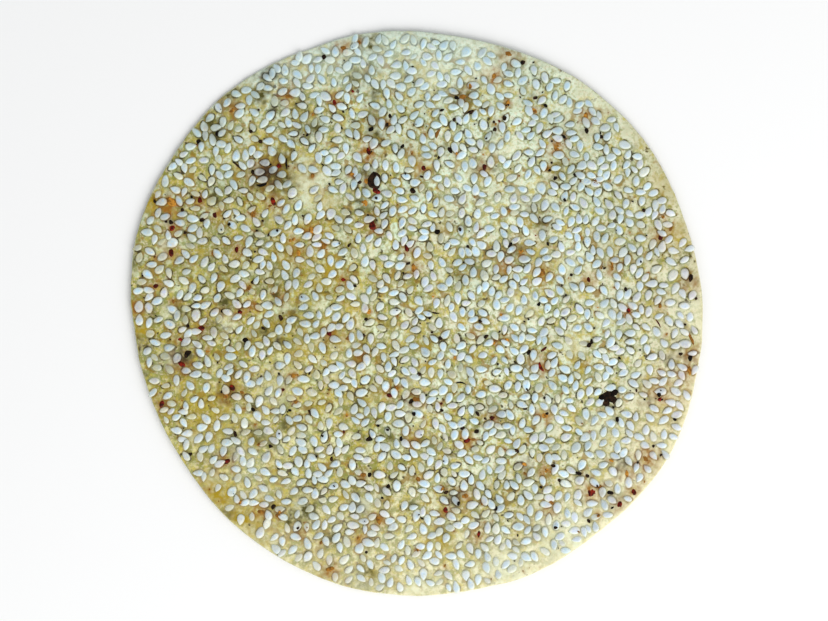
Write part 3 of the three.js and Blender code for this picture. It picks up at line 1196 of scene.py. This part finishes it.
def speck_material(name, dark, light, roughness, specular):
    """A speck of spice, in two mottled colours."""
    speck = Finish(name, dark, roughness, specular)
    speck.paint(speck.spread(speck.noise(0.7, 3.0), 0.4, 0.62), light)
    speck.paint(speck.spread(speck.attribute("tone"), 0.2, 0.9, 0.85), dark)
    return speck.finish(speck.noise(0.25, 3.0), 0.06)


# ---- the scene

FAR = 2.0  # a gap that counts as no seed near
STAMP_MARGIN = 1.0  # how far round a seed the gap to it is worked out
SUNKEN_GAP = 0.1  # how much further off sunken seeds count, as the dough is drawn over them


def stamp_seeds(seeds, sunken, charts):
    """Stamps on the charts how far each place is from the nearest seed, and from the second."""
    shapes = zip(seeds.turn, seeds.half_length, seeds.half_width, seeds.taper)
    for x, y, shape, hidden in zip(seeds.x, seeds.y, shapes, sunken):
        reach = shape[1] + STAMP_MARGIN
        nearest, across, up = charts["gap"].window(x, y, reach)
        second = charts["second"].window(x, y, reach)[0]
        found = gap_to_outline(across, up, *shape) + SUNKEN_GAP * hidden
        np.minimum(second, np.maximum(found, nearest), out=second)
        np.minimum(nearest, found, out=nearest)


def stamp_stains(rows, charts):
    """Stamps the stains on the charts: by table, round every small speck, and by chance."""
    spots = [(kind, *row) for kind, stains in STAINS.items() for row in stains]
    for kind, (chart, reach, strength) in SPECK_STAINS.items():
        for number, (x, y, length, width, _, _) in enumerate(rows[kind]):
            if length < BEDDED_LENGTH:
                is_landmark = number < len(LANDMARK_SPECKS[kind])
                least = LANDMARK_STAIN_REACH if is_landmark else FAINT_STAIN_REACH
                spots.append((chart, x, y, least + reach * (length + width), strength))
    for kind, (count, rightward) in CHANCE_STAINS.items():
        for _ in range(count):
            x, y = rng.uniform(-WIDEST, WIDEST, 2)
            strength = rng.uniform(*CHANCE_STAIN_STRENGTHS) * (1 + rightward * x / WIDEST)
            spots.append((kind, x, y, rng.uniform(*CHANCE_STAIN_REACHES), strength))
    patchy = soft_noise(2.0)
    for chart, x, y, reach, strength in spots:
        entries, across, up = charts[chart].window(x, y, STAIN_WINDOW * reach)
        ragged = 1 + STAIN_RAGGEDNESS * patchy(across + x, up + y)
        found = strength * np.exp(-(across**2 + up**2) / (reach * ragged) ** 2)
        np.maximum(entries, found, out=entries)


def stain_grains(mesh, charts):
    """Gives a mesh of grains the stains that the charts show where they lie."""
    places = np.empty(3 * len(mesh.vertices), np.float32)
    mesh.vertices.foreach_get("co", places)
    places = places.reshape(-1, 3) / MM
    for kind in SEED_STAINS:
        add_attribute(mesh, kind, charts[kind].read(places[:, 0], places[:, 1]))


def build_seeds(seeds, sunken, charts):
    bright = ~sunken & (seeds.tone * (1 - SUNKEN_SHARE) > GREY_SHARE)
    kinds = {"white_seeds": bright, "grey_seeds": ~sunken & ~bright, "sunken_seeds": sunken}
    template = grain_template(SEED_SECTION, SEED_CORNERS)
    for name, wanted in kinds.items():
        material = seed_material(name[:-1])
        mesh = grain_mesh(name, seeds.those(wanted), dough_level, template, rounded_outline)
        stain_grains(mesh, charts)
        new_piece(name, mesh, material)
    name = "underside_seeds"
    mesh = grain_mesh(name, underside_seeds(), dough_underside, template, rounded_outline)
    new_piece(name, mesh, bpy.data.materials["sunken_seed"])


def build_specks(rows, gap):
    template = grain_template(CHIP_SECTION, CHIP_CORNERS)
    kinds = (
        ("pepper", "black_pepper", 0.16, (8, 5, 3), (60, 38, 20), 0.7, 0.1),
        ("chilli", "red_chilli", 0.16, (54, 10, 2), (144, 32, 10), 0.4, 0.12),
        ("spice", "orange_spice", 0.1, (116, 76, 18), (200, 138, 44), 0.55, 0.2),
    )
    for kind, slot, proud, *look in kinds:
        specks = specks_from(rows[kind], proud)
        name = kind + "_specks"
        surface = speck_level(specks, gap)
        mesh = grain_mesh(name, specks, surface, template, angular_outline, CHIP_ROUGHNESS)
        new_piece(name, mesh, speck_material(slot, *look))


def build_papad():
    rows = {
        kind: [(*row, 0.0) for row in specks] + LANDMARK_SLIVERS[kind]
        for kind, specks in LANDMARK_SPECKS.items()
    }
    crowd = Crowd()
    for x, y, length, width, turn, _ in itertools.chain(*rows.values()):
        crowd.add(x, y, math.radians(turn), SPECK_ROOM * length, SPECK_ROOM * width)
    seeds, sunken = top_seeds(crowd)
    charts = {"gap": Chart(FAR), "second": Chart(FAR)} | {kind: Chart(0.0) for kind in STAINS}
    stamp_seeds(seeds, sunken, charts)
    for kind, (count, largest) in CHANCE_SPECKS.items():
        rows[kind] += chance_rows(count, charts["gap"], largest)
    stamp_stains(rows, charts)
    dough = new_piece("dough_sheet", dough_mesh(seeds, charts), dough_material())
    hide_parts("papad")
    build_seeds(seeds, sunken, charts)
    build_specks(rows, charts["gap"])


# ---- floor, light and camera

LENS = 85.0  # millimetres
FILM_WIDTH = 36.0
SHEET_SHARE = 0.6895  # of the picture's width that the sheet's mean diameter fills
SHEET_RIGHT = 0.0036  # how far right of the picture's middle its middle is, in picture widths
SHEET_DOWN = 0.0030  # and how far below it
FLOOR_WIDTH = 6.0


def build_floor():
    mesh = bpy.data.meshes.new("floor")
    half = FLOOR_WIDTH / 2
    corners = [(-half, -half, 0), (half, -half, 0), (half, half, 0), (-half, half, 0)]
    mesh.from_pydata(corners, [], [(0, 1, 2, 3)])
    floor = new_object("floor", mesh)
    material = bpy.data.materials.new("pale_floor")
    material.use_nodes = True
    shader = material.node_tree.nodes["Principled BSDF"]
    shader.inputs["Base Color"].default_value = (0.93, 0.93, 0.93, 1)
    shader.inputs["Roughness"].default_value = 0.9
    shader.inputs["Specular IOR Level"].default_value = 0.1
    mesh.materials.append(material)


def add_light(name, place, size, power, tint):
    """A square soft light that faces the middle of the sheet."""
    light = bpy.data.lights.new(name, "AREA")
    light.size = size
    light.energy = power
    light.color = tint
    lamp = new_object(name, light)
    lamp.location = place
    lamp.rotation_euler = Vector(place).to_track_quat("Z", "Y").to_euler()


def build_lights():
    add_light("key", (0.4, -0.52, 0.66), 0.8, 8.1, (1.0, 0.99, 0.97))
    add_light("fill", (-0.7, 0.5, 0.8), 0.9, 1.5, (0.95, 0.98, 1.0))
    world = bpy.data.worlds.new("pale_world")
    world.use_nodes = True
    background = world.node_tree.nodes["Background"]
    background.inputs["Color"].default_value = (0.96, 0.98, 1.0, 1)
    background.inputs["Strength"].default_value = 0.48
    bpy.context.scene.world = world


def build_camera():
    """Looks straight down, with the sheet as large as in the picture, and as far off its middle."""
    diameter = 2 * float(np.mean(OUTLINE_REACHES)) * MM
    picture_width = diameter / SHEET_SHARE
    distance = picture_width * LENS / FILM_WIDTH
    camera_data = bpy.data.cameras.new("camera")
    camera_data.lens = LENS
    camera_data.sensor_width = FILM_WIDTH
    camera = new_object("camera", camera_data)
    left = -SHEET_RIGHT * picture_width
    camera.location = (left, SHEET_DOWN * picture_width, distance + cad_high[2])
    bpy.context.scene.camera = camera


build_camera()
build_papad()
build_floor()
build_lights()
bpy.context.scene.view_settings.view_transform = "Standard"
